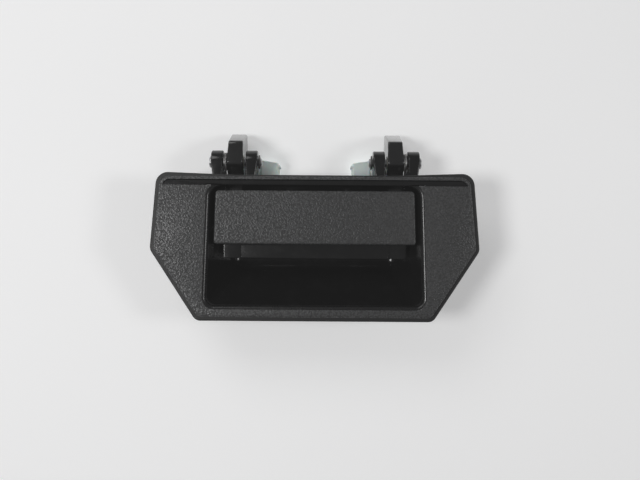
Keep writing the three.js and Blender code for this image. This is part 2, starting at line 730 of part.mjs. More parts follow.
// A rod clip about the eye: journal through the lever, body inboard of it, rod's hole through both.
function rodClip(side) {
  const bodyFar = innerKnuckleIn - FIT;
  const bodyNear = bodyFar - CLIP_WIDTH;
  const half = CLIP_DEPTH / 2;
  const corners = [
    [side * bodyFar, -CLIP_HEIGHT_DOWN, CLIP_LOW_CORNER],
    [side * bodyFar, CLIP_HEIGHT_UP, CLIP_TOP_CORNER],
    [side * bodyNear, CLIP_HEIGHT_UP - CLIP_TOP_SLOPE, CLIP_TOP_CORNER],
    [side * bodyNear, -CLIP_HEIGHT_DOWN, CLIP_LOW_CORNER],
  ];
  const front = outline(side > 0 ? corners : corners.reverse());
  const tab = block(
    onSide(side, bodyNear - TAB_LENGTH, bodyNear + TAB_LENGTH),
    [-half + CLIP_TOP_CORNER, half - CLIP_TOP_CORNER],
    [TAB_LOW, TAB_HIGH],
  );
  const snapStart = leverOut + FIT;
  return cut(
    joined(
      solid(throughY(front, -half, half)),
      solid(tab),
      solid(barX(side, bodyFar - PAST, leverIn - FIT, JOURNAL_RADIUS + JOURNAL_SHOULDER)),
      solid(barX(side, leverIn - PAST, snapStart + ROOT, JOURNAL_RADIUS)),
      solid(barX(side, snapStart, snapStart + SNAP_HEAD, JOURNAL_RADIUS + SNAP_RIM)),
    ),
    solid(barX(side, bodyNear - 2 * PAST, snapStart + SNAP_HEAD + PAST, ROD_RADIUS)),
  );
}

function restBumper() {
  const half = LEVER_WIDTH / 2 - BUMPER_SET_IN;
  const pad = block(
    [-half, half],
    [armBack + FIT, stopFront - FIT],
    [-BUMPER_HEIGHT / 2, BUMPER_HEIGHT / 2],
  );
  const [root, tip] = [stopFront - FIT - ROOT, stopFront + STOP_RIB + STOP_MARGIN];
  const stem = barY(root, tip, BUMPER_STEM_RADIUS, 0, 0);
  return solid(pad).add(solid(stem));
}

// ---- Assembly -------------------------------------------------------------------------------

function piece(name, body, material, parent, x = 0, y = 0, z = 0) {
  const mesh = new THREE.Mesh(geometryOf(body), material());
  mesh.name = name;
  mesh.position.set(x, y, z);
  parent.add(mesh);
}

const group = new THREE.Group();
const onPivot = new THREE.Group();
onPivot.position.set(0, pivot.y, pivot.z);
group.add(onPivot);

piece('housing', housing(), grainedPlastic, group);
piece('gasket', gasket(), foam, group);
piece('paddle', paddle(), grainedPlastic, group);

for (const { name, x, z } of bossPlaces()) {
  piece(`mount_insert_${name}`, insert(), brass, group, x, 0, z);
}

for (const [name, side] of [['left', -1], ['right', 1]]) {
  piece(`lever_${name}`, lever(side), leverPaint, onPivot);
  piece(`hub_bush_${name}`, bush(side), bushNylon, onPivot);
  piece(`pivot_pin_${name}`, pivotPin(side), zincSteel, onPivot);
  piece(`retaining_ring_${name}`, retainingRing(side), springSteel, onPivot);
  piece(`return_spring_${name}`, returnSpring(side), springSteel, onPivot);
  piece(`rod_clip_${name}`, rodClip(side), naturalNylon, onPivot,
    0, EYE_BEHIND_PIVOT, -EYE_BELOW_PIVOT);
  piece(`rest_bumper_${name}`, restBumper(), rubber, group, side * leverMiddle, 0, bumperZ);
  for (const [level, z] of Object.entries(screwHeights())) {
    piece(`lever_screw_${name}_${level}`, footScrew(), zincSteel, group, side * screwX, 0, z);
  }
}

export default group;
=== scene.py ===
import json
import math

import bmesh
import bpy
from mathutils import Matrix, Vector


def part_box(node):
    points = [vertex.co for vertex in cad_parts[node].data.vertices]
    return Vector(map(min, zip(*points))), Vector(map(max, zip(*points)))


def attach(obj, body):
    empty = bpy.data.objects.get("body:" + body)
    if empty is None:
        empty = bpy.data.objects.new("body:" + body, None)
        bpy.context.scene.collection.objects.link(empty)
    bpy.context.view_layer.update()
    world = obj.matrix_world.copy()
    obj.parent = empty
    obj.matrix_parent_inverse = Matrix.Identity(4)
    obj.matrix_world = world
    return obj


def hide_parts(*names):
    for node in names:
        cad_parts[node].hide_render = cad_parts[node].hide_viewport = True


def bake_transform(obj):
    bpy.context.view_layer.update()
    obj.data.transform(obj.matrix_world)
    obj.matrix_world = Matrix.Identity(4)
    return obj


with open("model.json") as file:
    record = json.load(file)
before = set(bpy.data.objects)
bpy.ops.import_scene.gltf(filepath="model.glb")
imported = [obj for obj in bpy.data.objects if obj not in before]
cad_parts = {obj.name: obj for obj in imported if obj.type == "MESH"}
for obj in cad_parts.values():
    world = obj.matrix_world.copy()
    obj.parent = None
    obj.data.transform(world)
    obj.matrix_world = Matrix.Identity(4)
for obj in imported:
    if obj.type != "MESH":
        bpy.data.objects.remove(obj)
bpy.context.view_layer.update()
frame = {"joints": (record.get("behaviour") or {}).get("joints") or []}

# ---- Sizes, in millimetres --------------------------------------------------------------------

MM = 0.001


def box_mm(node):
    low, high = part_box(node)
    return [v / MM for v in low], [v / MM for v in high]


HOUSING_LOW, _ = box_mm("housing")
LEVER_LOW, LEVER_HIGH = box_mm("lever_right")
PADDLE_LOW, PADDLE_HIGH = box_mm("paddle")
SCREW_LOW, SCREW_HIGH = box_mm("lever_screw_right_upper")
LOW_SCREW_LOW, LOW_SCREW_HIGH = box_mm("lever_screw_right_lower")
BUMPER_LOW, BUMPER_HIGH = box_mm("rest_bumper_right")
PIN_LOW, PIN_HIGH = box_mm("pivot_pin_right")
RING_LOW, RING_HIGH = box_mm("retaining_ring_right")

FACE = HOUSING_LOW[1]
BOTTOM = HOUSING_LOW[2]
TOP = -BOTTOM
HALF = 92.5
PLATE_BACK = FACE + 3
FLANGE_BACK = -1.5
STEP = 2.5  # flange outside the front plate
TOP_STEP = 1.1  # the same, along the top
SIDE_CORNER_Z = -1.1
TOP_SET_IN = 3.6
FOOT_HALF = 66.5  # housing's half-width at its foot
SHOULDER = 1.5
SHOULDER_START = 45.0

OPEN_TOP = TOP - 5.8
OPEN_FOOT = BOTTOM + 8.4
OPEN_HALF = 61.0
OPEN_HALF_TOP = 59.0
OPEN_CORNER = 5.0
OPEN_TOP_CORNER = 7.0
BAND_HIGH = TOP - 2.8
BAND_LOW = BAND_HIGH - 3.2
BAND_LEVEL = FACE + 1.0
BAND_END = 85.5
WALL = 2.5
RECESS_BACK = FACE + 36
FLOOR_BACK = OPEN_FOOT + 23.6
ROOF_BACK = FLOOR_BACK + 17.5
ROOF_FRONT = FLANGE_BACK + 0.5
DRAFT = 1 / 3
EDGE_ROUND = 2.2  # rounding of the opening's edge
EDGE_SHIFT = 0.279 * EDGE_ROUND  # brings the rounding's end onto the drafted wall
EDGE_OUT = EDGE_ROUND - EDGE_SHIFT
SLOT_PLAY = 0.12

PIVOT = next(joint for joint in frame["joints"] if joint["name"] == "paddle_pull")["pos_m"]
PIVOT_Y = PIVOT[1] / MM
PIVOT_Z = PIVOT[2] / MM
KNUCKLE = 6.8  # radius of the knuckles
PIN = 2.5  # radius of the pivot pins
PIN_HEAD = 3.2
TURN_RADIUS = 22.85  # the paddle's top back edge clears the rail at this radius
PADDLE_HEIGHT = 30.3
PADDLE_PLAY = 3.3  # between the paddle's ends and the opening, each side
LEVER_FOOT_TOP = LEVER_LOW[2] + 16
LEVER_IN = 41.4
LEVER_OUT = LEVER_HIGH[0]
INNER_KNUCKLE = (33.2, 39.9)
OUTER_KNUCKLE = (53.18, 59.78)
WEB_TOP = OPEN_TOP + WALL
EYE = (PIVOT_Y + 18, PIVOT_Z - 3)


# ---- Shader maths -----------------------------------------------------------------------------


class Value:
    """A shader socket that takes part in Python expressions."""

    def __init__(self, finish, socket):
        self.finish = finish
        self.socket = socket

    def _math(self, operation, *values):
        return self.finish.node(
            "ShaderNodeMath", {"operation": operation}, dict(enumerate(values)))

    def __add__(self, other):
        return self._math("ADD", self, other)

    def __radd__(self, other):
        return self._math("ADD", other, self)

    def __sub__(self, other):
        return self._math("SUBTRACT", self, other)

    def __rsub__(self, other):
        return self._math("SUBTRACT", other, self)

    def __mul__(self, other):
        return self._math("MULTIPLY", self, other)

    def __rmul__(self, other):
        return self._math("MULTIPLY", other, self)


class Nodes:
    """A node tree, built node by node."""

    def __init__(self, tree):
        self.tree = tree

    def node(self, kind, settings=None, sockets=None, output=0):
        made = self.tree.nodes.new(kind)
        for key, value in (settings or {}).items():
            if key == "stops":
                self._stops(made.color_ramp, value)
            else:
                setattr(made, key, value)
        for key, value in (sockets or {}).items():
            self._feed(made.inputs[key], value)
        return Value(self, made.outputs[output])

    @staticmethod
    def _stops(ramp, stops):
        while len(ramp.elements) < len(stops):
            ramp.elements.new(0.5)
        for element, (place, level) in zip(ramp.elements, stops):
            element.position = place
            element.color = (level, level, level, 1)

    def _feed(self, socket, value):
        if isinstance(value, Value):
            self.tree.links.new(value.socket, socket)
        else:
            socket.default_value = value

    def ramp(self, value, stops):
        return self.node("ShaderNodeValToRGB", {"stops": stops}, {"Fac": value})

    def blend(self, factor, first, second):
        return self.node("ShaderNodeMix", {"data_type": "RGBA"},
                         {"Factor": factor, 6: first, 7: second}, output=2)


class Finish(Nodes):
    """A material with one Principled shader. Sizes are in millimetres."""

    def __init__(self, name):
        self.material = bpy.data.materials.new(name)
        self.material.use_nodes = True
        super().__init__(self.material.node_tree)
        self.shader = self.tree.nodes["Principled BSDF"]

    def set(self, **sockets):
        for key, value in sockets.items():
            self._feed(self.shader.inputs[key.replace("_", " ")], value)

    def place(self):
        return self.node("ShaderNodeTexCoord", output="Object")

    def noise(self, size, detail=2.0, roughness=0.5):
        sockets = {"Vector": self.place(), "Scale": 1 / (size * MM),
                   "Detail": detail, "Roughness": roughness}
        return self.node("ShaderNodeTexNoise", None, sockets)

    def cells(self, size, feature="F1"):
        sockets = {"Vector": self.place(), "Scale": 1 / (size * MM)}
        return self.node("ShaderNodeTexVoronoi", {"feature": feature}, sockets)

    def bump(self, height, depth, strength=1.0):
        sockets = {"Height": height, "Distance": depth * MM, "Strength": strength}
        return self.node("ShaderNodeBump", None, sockets)


def grey(level, tint=(1.0, 1.0, 1.0)):
    return (level * tint[0], level * tint[1], level * tint[2], 1.0)


def grained_plastic():
    """Black plastic with the fine pebble grain that a spark-eroded mould leaves. Its colour
    carries the grain's light and shade: the lighter tops are a painted highlight and the
    near-black valleys are painted shade.
    """
    f = Finish("grained_plastic")
    pebbles = 1 - f.cells(1.05, feature="SMOOTH_F1")
    worms = f.noise(0.8, detail=2.0)
    height = pebbles * 0.6 + worms * 0.8
    tops = f.ramp(height, [(0.66, 0.0), (0.82, 1.0)])
    handled = f.ramp(f.noise(26, detail=3.0), [(0.42, 0.0), (0.68, 1.0)])
    f.set(
        # Base colour: the grain pattern is the mould's. Its lighter tops are a painted highlight
        # and its near-black valleys are painted shade of the grain's relief.
        Base_Color=f.blend(tops, grey(0.002), grey(0.030, (0.98, 1.0, 1.02))),
        Roughness=0.64 - 0.30 * tops - 0.03 * handled,
        Normal=f.bump(height, 0.26, 1.0),
        Specular_IOR_Level=0.8,
    )
    return f.material


def smooth_plastic(name, sheen):
    """The same plastic where the mould has no grain: the band, recess, flange and back."""
    f = Finish(name)
    ripple = f.noise(5.0, detail=2.0)
    fine = f.noise(0.25, detail=2.0)
    scuffs = f.ramp(f.noise(9.0, detail=6.0, roughness=0.7), [(0.5, 0.0), (0.8, 1.0)])
    f.set(
        Base_Color=f.blend(scuffs, grey(0.006), grey(0.011)),
        Roughness=sheen + 0.05 * ripple + 0.08 * scuffs,
        Normal=f.bump(ripple * 0.8 + fine * 0.08, 0.05, 0.5),
    )
    return f.material


def lever_paint():
    """Glossy black paint with a slight orange peel."""
    f = Finish("lever_paint")
    orange_peel = f.noise(1.1, detail=1.0)
    sweep = f.noise(7.0, detail=3.0)
    f.set(
        Base_Color=f.blend(sweep, grey(0.008), grey(0.014)),
        Roughness=0.13 + 0.10 * sweep,
        Normal=f.bump(orange_peel, 0.02, 0.5),
        Coat_Weight=0.45,
        Coat_Roughness=0.06,
    )
    return f.material


def natural_nylon():
    f = Finish("natural_nylon")
    cloud = f.noise(4.5, detail=3.0)
    flow = f.noise(1.2, detail=2.0)
    f.set(
        Base_Color=f.blend(cloud, (0.66, 0.745, 0.725, 1), (0.76, 0.83, 0.81, 1)),
        Roughness=0.38 + 0.12 * flow,
        Normal=f.bump(flow, 0.04, 0.5),
        Subsurface_Weight=0.25,
        Subsurface_Scale=0.003,
    )
    return f.material


def bush_nylon():
    f = Finish("bush_nylon")
    cloud = f.noise(2.0)
    f.set(Base_Color=f.blend(cloud, (0.62, 0.60, 0.53, 1), (0.72, 0.70, 0.64, 1)),
          Roughness=0.42 + 0.1 * cloud)
    return f.material


def metal(name, level, tint, grain):
    """A plated or drawn metal: how bright it is, its tint, and its least roughness."""
    f = Finish(name)
    mottle = f.noise(1.6, detail=4.0)
    lines = f.noise(0.18, detail=2.0)
    f.set(
        Base_Color=f.blend(mottle, grey(level * 0.8, tint), grey(level, tint)),
        Roughness=grain + 0.18 * mottle,
        Metallic=1.0,
        Normal=f.bump(lines, 0.012, 0.5),
    )
    return f.material


def rubber():
    f = Finish("rubber")
    dust = f.noise(1.0, detail=4.0)
    f.set(Base_Color=f.blend(dust, grey(0.014), grey(0.03)), Roughness=0.72 + 0.15 * dust,
          Normal=f.bump(dust, 0.05, 0.5))
    return f.material


def foam():
    f = Finish("foam")
    pores = f.cells(0.45)
    f.set(Base_Color=f.blend(pores, grey(0.012), grey(0.035)), Roughness=0.9,
          Normal=f.bump(pores, 0.2, 0.9))
    return f.material


GRAINED = grained_plastic()
SMOOTH = smooth_plastic("smooth_plastic", 0.15)
SATIN = smooth_plastic("satin_plastic", 0.24)
MATT = smooth_plastic("matt_plastic", 0.5)
PAINT = lever_paint()
NYLON = natural_nylon()
BUSH = bush_nylon()
ZINC = metal("zinc_plated_steel", 0.5, (1.0, 1.0, 1.02), 0.3)
SPRING_STEEL = metal("spring_steel", 0.38, (1.0, 0.99, 0.97), 0.3)
RING_STEEL = metal("oiled_spring_steel", 0.09, (1.0, 0.98, 0.95), 0.3)
BRASS = metal("brass", 0.62, (1.0, 0.76, 0.38), 0.28)
RUBBER = rubber()
FOAM = foam()


# ---- Outlines ---------------------------------------------------------------------------------


def arc(centre, radius, start, end, steps):
    """Points on a circle, angles in degrees."""
    points = []
    for i in range(steps + 1):
        angle = math.radians(start + (end - start) * i / steps)
        points.append((centre[0] + radius * math.cos(angle),
                       centre[1] + radius * math.sin(angle)))
    return points


def rounded(corners, steps=8):
    """A closed outline from corners (a, b, radius), each replaced by an arc."""
    points = []
    count = len(corners)
    for i, corner in enumerate(corners):
        here = Vector(corner[:2])
        radius = corner[2] if len(corner) > 2 else 0
        before = (Vector(corners[i - 1][:2]) - here).normalized()
        after = (Vector(corners[(i + 1) % count][:2]) - here).normalized()
        if radius <= 0:
            points.append(tuple(here))
            continue
        half = before.angle(after) / 2
        reach = radius / math.tan(half)
        centre = here + (before + after).normalized() * (radius / math.sin(half))
        start = here + before * reach - centre
        end = here + after * reach - centre
        turn = start.angle_signed(end)
        first = math.atan2(start.y, start.x)
        for k in range(steps + 1):
            angle = first - turn * k / steps
            points.append((centre.x + radius * math.cos(angle),
                           centre.y + radius * math.sin(angle)))
    return points


def area(points):
    return sum(a[0] * b[1] - b[0] * a[1] for a, b in zip(points, points[1:] + points[:1])) / 2


def inset(points, amount):
    """The outline moved inwards by amount, or outwards where it is negative."""
    sign = 1 if area(points) > 0 else -1
    moved = []
    count = len(points)
    for i, point in enumerate(points):
        here = Vector(point)
        along_in = here - Vector(points[i - 1])
        along_out = Vector(points[(i + 1) % count]) - here
        if along_in.length < 1e-7:
            along_in = along_out
        if along_out.length < 1e-7:
            along_out = along_in
        along_in.normalize()
        along_out.normalize()
        normal_in = Vector((-along_in.y, along_in.x)) * sign
        normal_out = Vector((-along_out.y, along_out.x)) * sign
        bisector = (normal_in + normal_out).normalized()
        spread = max(bisector.dot(normal_in), 0.35)
        moved.append(tuple(here + bisector * (amount / spread)))
    return moved


def edge_section(front, back, front_round, back_round, steps=6):
    """(inset, depth) pairs for a side wall with rounded edges at both ends."""
    section = []
    for i in range(steps + 1):
        angle = math.pi / 2 * i / steps
        section.append((front_round * (1 - math.sin(angle)),
                        front + front_round * (1 - math.cos(angle))))
    for i in range(steps + 1):
        angle = math.pi / 2 * i / steps
        section.append((back_round * (1 - math.cos(angle)),
                        back - back_round * (1 - math.sin(angle))))
    return section


def across_y(a, b, depth):
    """A flat drawing seen from the front: across X and Z, with its depth along Y."""
    return (a, depth, b)


def across_x(a, b, depth):
    """A flat drawing seen from the side: across Y and Z, with its depth along X."""
    return (depth, a, b)


# ---- Meshes -----------------------------------------------------------------------------------


class Moulding:
    """A mesh under construction, in millimetres."""

    def __init__(self):
        self.bm = bmesh.new()

    def ring(self, points):
        return [self.bm.verts.new(p) for p in points]

    def skin(self, first, second, smooth=True):
        count = len(first)
        for i in range(count):
            j = (i + 1) % count
            face = self.bm.faces.new((first[i], first[j], second[j], second[i]))
            face.smooth = smooth

    def flat(self, *rings):
        """Fills the plane between an outer ring and any hole rings."""
        edges = set()
        for ring in rings:
            for i, vert in enumerate(ring):
                other = ring[(i + 1) % len(ring)]
                edge = self.bm.edges.get((vert, other)) or self.bm.edges.new((vert, other))
                edges.add(edge)
        made = bmesh.ops.triangle_fill(self.bm, edges=list(edges), use_beauty=True)
        for item in made["geom"]:
            if isinstance(item, bmesh.types.BMFace):
                item.smooth = False

    def plate(self, outlines, sections, place=across_y):
        """A plate from an outer outline and holes, each with its own edge section."""
        fronts, backs = [], []
        for i, (points, section) in enumerate(zip(outlines, sections)):
            sign = 1 if i == 0 else -1
            rings = []
            for amount, depth in section:
                moved = inset(points, sign * amount) if amount else points
                rings.append(self.ring([place(a, b, depth) for a, b in moved]))
            for first, second in zip(rings, rings[1:]):
                self.skin(first, second)
            fronts.append(rings[0])
            backs.append(rings[-1])
        self.flat(*fronts)
        self.flat(*backs)
        return self

    def turned(self, profile, centre, axis="X", steps=40):
        """A closed turned piece: (radius, distance along the axis) from axis to axis or closed."""
        rings = []
        for radius, along in profile:
            if radius <= 1e-6:
                rings.append([self.bm.verts.new(self._on_axis(centre, axis, 0, 0, along))])
                continue
            points = arc((0, 0), radius, 0, 360 * (steps - 1) / steps, steps - 1)
            rings.append(self.ring([self._on_axis(centre, axis, a, b, along) for a, b in points]))
        closed = profile[0][0] > 1e-6
        pairs = list(zip(rings, rings[1:]))
        if closed:
            pairs.append((rings[-1], rings[0]))
        for first, second in pairs:
            if len(first) == 1 or len(second) == 1:
                tip, loop = (first[0], second) if len(first) == 1 else (second[0], first)
                for i in range(len(loop)):
                    self.bm.faces.new((tip, loop[i], loop[(i + 1) % len(loop)])).smooth = True
            else:
                self.skin(first, second)
        return self

    @staticmethod
    def _on_axis(centre, axis, a, b, along):
        x, y, z = centre
        return (x + along, y + a, z + b) if axis == "X" else (x + a, y + along, z + b)

    def tube(self, points, radius, sides=14):
        """A round bar along a path, with domed ends."""
        path = [Vector(p) for p in points]
        tangents = [(path[min(i + 1, len(path) - 1)] - path[max(i - 1, 0)]).normalized()
                    for i in range(len(path))]
        normal = tangents[0].orthogonal().normalized()
        rings = []
        for i, (point, tangent) in enumerate(zip(path, tangents)):
            normal = (normal - tangent * normal.dot(tangent)).normalized()
            side = tangent.cross(normal)
            ring = []
            for k in range(sides):
                angle = 2 * math.pi * k / sides
                ring.append(point + (normal * math.cos(angle) + side * math.sin(angle)) * radius)
            rings.append(self.ring(ring))
        for first, second in zip(rings, rings[1:]):
            self.skin(first, second)
        for ring, point, tangent in ((rings[0], path[0], -tangents[0]),
                                     (rings[-1], path[-1], tangents[-1])):
            tip = self.bm.verts.new(point + tangent * radius * 0.4)
            for i in range(sides):
                self.bm.faces.new((tip, ring[i], ring[(i + 1) % sides])).smooth = True
        return self

    def mirrored(self):
        """Turns a right-hand piece into the left-hand one."""
        for vert in self.bm.verts:
            vert.co.x = -vert.co.x
        return self

    def mesh(self, name):
        """The finished mesh, in metres."""
        bmesh.ops.recalc_face_normals(self.bm, faces=self.bm.faces)
        self.bm.transform(Matrix.Scale(MM, 4))
        mesh = bpy.data.meshes.new(name)
        self.bm.to_mesh(mesh)
        self.bm.free()
        return mesh

    def piece(self, name, material, body, replaced, slot, crease=32, turning=None):
        """When turning is given, the piece is left unattached with its transform baked in. The
        second body and the turning ends that it holds are not used.
        """
        mesh = self.mesh(name)
        mesh.set_sharp_from_angle(angle=math.radians(crease))
        mesh.materials.append(material)
        made = bpy.data.objects.new(name, mesh)
        bpy.context.collection.objects.link(made)
        if turning:
            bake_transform(made)
        else:
            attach(made, body)
        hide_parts(replaced)
        return made


def subtract(piece, mould):
    """Cuts a moulding's shape out of a piece."""
    cutter = bpy.data.objects.new("cutter", mould.mesh("cutter"))
    bpy.context.collection.objects.link(cutter)
    boolean = piece.modifiers.new("cut", "BOOLEAN")
    boolean.operation = "DIFFERENCE"
    boolean.solver = "EXACT"
    boolean.object = cutter
    done = bpy.data.meshes.new_from_object(
        piece.evaluated_get(bpy.context.evaluated_depsgraph_get()))
    piece.modifiers.clear()
    piece.data = done
    bpy.data.objects.remove(cutter)


SIDES = (("right", 1), ("left", -1))


def handed(moulding, side):
    return moulding if side > 0 else moulding.mirrored()


# ---- Housing ----------------------------------------------------------------------------------


def housing_outline(inwards, top_inwards=None, shoulder=0.0, corner=5.0):
    """The housing's outline, drawn inside the flange's edge."""
    top_inwards = inwards if top_inwards is None else top_inwards
    lean = math.atan2(HALF - FOOT_HALF, SIDE_CORNER_Z - BOTTOM)
    foot = FOOT_HALF - inwards / math.cos(lean) + inwards * math.tan(lean)
    side_z = SIDE_CORNER_Z + inwards * math.tan(lean / 2)
    radius = max(corner - inwards / 2, 1)
    right = [
        (foot, BOTTOM + inwards, radius),
        (HALF - inwards, side_z, radius + 0.5),
        (HALF - TOP_SET_IN - inwards, TOP + shoulder - top_inwards, radius + 2),
    ]
    if shoulder:
        right.append((SHOULDER_START, TOP - top_inwards, 60))
    return rounded(right + [(-x, z, r) for x, z, r in reversed(right)], 10)


def open_half_at(z):
    share = (z - OPEN_FOOT) / (OPEN_TOP - OPEN_FOOT)
    return OPEN_HALF + (OPEN_HALF_TOP - OPEN_HALF) * share


def opening_path(grow):
    """The opening's edge below the band, from the right end round its foot to the left end."""
    centre = (OPEN_HALF_TOP - OPEN_TOP_CORNER + 0.2, OPEN_TOP - OPEN_TOP_CORNER)
    radius = OPEN_TOP_CORNER + grow
    start = math.degrees(math.asin(min(1.0, (BAND_LOW - 0.05 - centre[1]) / radius)))
    right = arc(centre, radius, start, 2, 12)
    foot_centre = (OPEN_HALF - OPEN_CORNER, OPEN_FOOT + OPEN_CORNER)
    right += arc(foot_centre, OPEN_CORNER + grow, 0, -90, 10)
    return right + [(-x, z) for x, z in reversed(right)]


def face_opening():
    """The hole in the grained face: the finger opening, and the band's channel above it."""
    right = arc((BAND_END - 5, BAND_HIGH - 5), 5, 90, 21, 8) + [(BAND_END - 0.3, BAND_LOW)]
    return right + opening_path(EDGE_OUT) + [(-x, z) for x, z in reversed(right)]


def recess_ring(depth, grow):
    """The recess's outline at a depth behind the face, larger all round by grow."""
    share = max(0.0, min(1.0, (depth - FACE) / (RECESS_BACK - FACE)))
    middle = (OPEN_FOOT + FLOOR_BACK) / 2 - 4
    foot = ((1 - share) ** 2 * OPEN_FOOT + 2 * share * (1 - share) * middle
            + share ** 2 * FLOOR_BACK)
    slope = (OPEN_TOP - ROOF_BACK) / (RECESS_BACK - ROOF_FRONT)
    head = OPEN_TOP - slope * max(0.0, depth - ROOF_FRONT)
    back = DRAFT * (depth - FACE)
    foot_half = open_half_at(foot) - back + grow
    head_half = open_half_at(head) - back + grow
    foot -= grow
    head += grow
    low_corner = OPEN_CORNER + grow + 2.0 * share
    high_corner = min(OPEN_TOP_CORNER + grow, (head - foot) / 2 - 1)
    corners = [
        (foot_half, foot, low_corner), (head_half, head, high_corner),
        (-head_half, head, high_corner), (-foot_half, foot, low_corner),
    ]
    return rounded(corners, 10)


def recess_shell():
    """The pan behind the opening, with an inner and an outer skin."""
    mould = Moulding()
    depths = [FACE + 1.9, FACE + 4, ROOF_FRONT - 1.5, ROOF_FRONT, ROOF_FRONT + 1.5]
    depths += [ROOF_FRONT + 1.5 + (RECESS_BACK - 7.5 - ROOF_FRONT) * i / 9 for i in range(1, 10)]

    def side(grow, back):
        rings = [mould.ring([across_y(a, b, d) for a, b in recess_ring(d, grow)]) for d in depths]
        last = recess_ring(depths[-1], grow)
        bend = back - depths[-1]
        for i in range(1, 8):
            angle = math.pi / 2 * i / 7
            depth = depths[-1] + bend * math.sin(angle)
            shrunk = inset(last, 5.0 * (1 - math.cos(angle)) + 0.2 * i)
            rings.append(mould.ring([across_y(a, b, depth) for a, b in shrunk]))
        for first, second in zip(rings, rings[1:]):
            mould.skin(first, second)
        mould.flat(rings[-1])
        return rings[0]

    inner = side(0.02, RECESS_BACK)
    outer = side(WALL, RECESS_BACK + WALL)
    mould.flat(outer, inner)
    shell = mould.piece("recess_pan", SMOOTH, "housing", "housing", "grained_plastic", 40)
    for _, sign in SIDES:
        slot = sorted((sign * (LEVER_IN - SLOT_PLAY), sign * (LEVER_OUT + SLOT_PLAY)))
        subtract(shell, block((slot[0], PLATE_BACK + 0.2, ROOF_BACK),
                              (slot[1], BUMPER_HIGH[1] - 3.5, 50), 0.05))


def face_plate():
    """The grained face, with the opening and the band's channel through it."""
    mould = Moulding()
    mould.plate(
        [housing_outline(STEP, TOP_STEP), face_opening()],
        [edge_section(FACE, PLATE_BACK, 0.7, 0.1),
         edge_section(FACE, PLATE_BACK - 0.2, 0.15, 0.1)],
    )
    mould.piece("face_plate", GRAINED, "housing", "housing", "grained_plastic")


def opening_edge():
    """The polished rounding between the grained face and the recess."""
    section = []
    for i in range(10):
        angle = math.atan(1 / DRAFT) * i / 9
        section.append((EDGE_ROUND * (1 - math.sin(angle)) - EDGE_SHIFT,
                        FACE + EDGE_ROUND * (1 - math.cos(angle))))
    section += [(-2 * DRAFT, FACE + 2), (0.5, FACE + 2.6), (EDGE_OUT, FACE + 2.6)]
    mould = Moulding()
    rows = [mould.ring([across_y(a, b, depth) for a, b in opening_path(grow)])
            for grow, depth in section]
    for first, second in zip(rows, rows[1:] + rows[:1]):
        for i in range(len(first) - 1):
            face = mould.bm.faces.new((first[i], first[i + 1], second[i + 1], second[i]))
            face.smooth = True
    for end in (0, -1):
        mould.bm.faces.new([row[end] for row in rows])
    mould.piece("opening_edge", SATIN, "housing", "housing", "grained_plastic")


def band_plate():
    """The smooth band across the top, a step below the face."""
    half = BAND_END + 0.8
    inner = OPEN_HALF_TOP + 1.6
    low = OPEN_TOP - 3
    right = [(inner, OPEN_TOP, 0.3), (inner, low, 0.3),
             (half, low, 0.5), (half, BAND_HIGH + 0.5, 0.5)]
    strip = rounded(right + [(-x, z, r) for x, z, r in reversed(right)], 4)
    mould = Moulding()
    mould.plate([strip], [edge_section(BAND_LEVEL, PLATE_BACK + 1.5, 0.9, 0.2)])
    mould.piece("top_band", SMOOTH, "housing", "housing", "grained_plastic")


def flange():
    """The skirt round the face, a step behind it."""
    mould = Moulding()
    mould.plate(
        [housing_outline(0, 0, SHOULDER), housing_outline(STEP + WALL, TOP_STEP + WALL)],
        [edge_section(PLATE_BACK - 0.3, FLANGE_BACK, 0.7, 0.3),
         edge_section(PLATE_BACK - 0.3, FLANGE_BACK, 0.1, 0.3)],
    )
    mould.piece("flange", MATT, "housing", "housing", "grained_plastic")


def tower_outline(radius):
    """Side view of a pivot tower, Y and Z."""
    foot_back = OPEN_TOP - (OPEN_TOP - ROOF_BACK) / (RECESS_BACK - ROOF_FRONT) * (
        PIVOT_Y + radius - ROOF_FRONT) + 1
    head = arc((PIVOT_Y, PIVOT_Z), radius, 0, 180, 28)
    front = [
        (PIVOT_Y - radius, TOP - WALL + 0.5),
        (PLATE_BACK, OPEN_TOP + WALL),
        (PLATE_BACK, OPEN_TOP + 0.4),
        (ROOF_FRONT, OPEN_TOP + 0.4),
    ]
    return head + front + [(PIVOT_Y + radius, foot_back)]


def towers():
    foot_slant = 1.4  # each tower thins below its knuckle
    for name, sign in SIDES:
        for which, (near, far) in (("inner", INNER_KNUCKLE), ("outer", OUTER_KNUCKLE)):
            mould = Moulding()
            mould.plate([tower_outline(KNUCKLE)], [edge_section(near, far, 0.7, 0.7)], across_x)
            outer_side = 1 if which == "outer" else -1
            for vert in mould.bm.verts:
                if vert.co.z < PIVOT_Z - 3 and (vert.co.x - (near + far) / 2) * outer_side > 0:
                    vert.co.x -= foot_slant * outer_side
            handed(mould, sign).piece(
                f"tower_{name}_{which}", SMOOTH, "housing", "housing", "grained_plastic", 35)


def block(low, high, edge):
    """A plate with rounded edges, from corner to corner."""
    outline = rounded([(high[0], low[2], edge), (high[0], high[2], edge),
                       (low[0], high[2], edge), (low[0], low[2], edge)], 4)
    return Moulding().plate([outline], [edge_section(low[1], high[1], edge, edge, 4)])


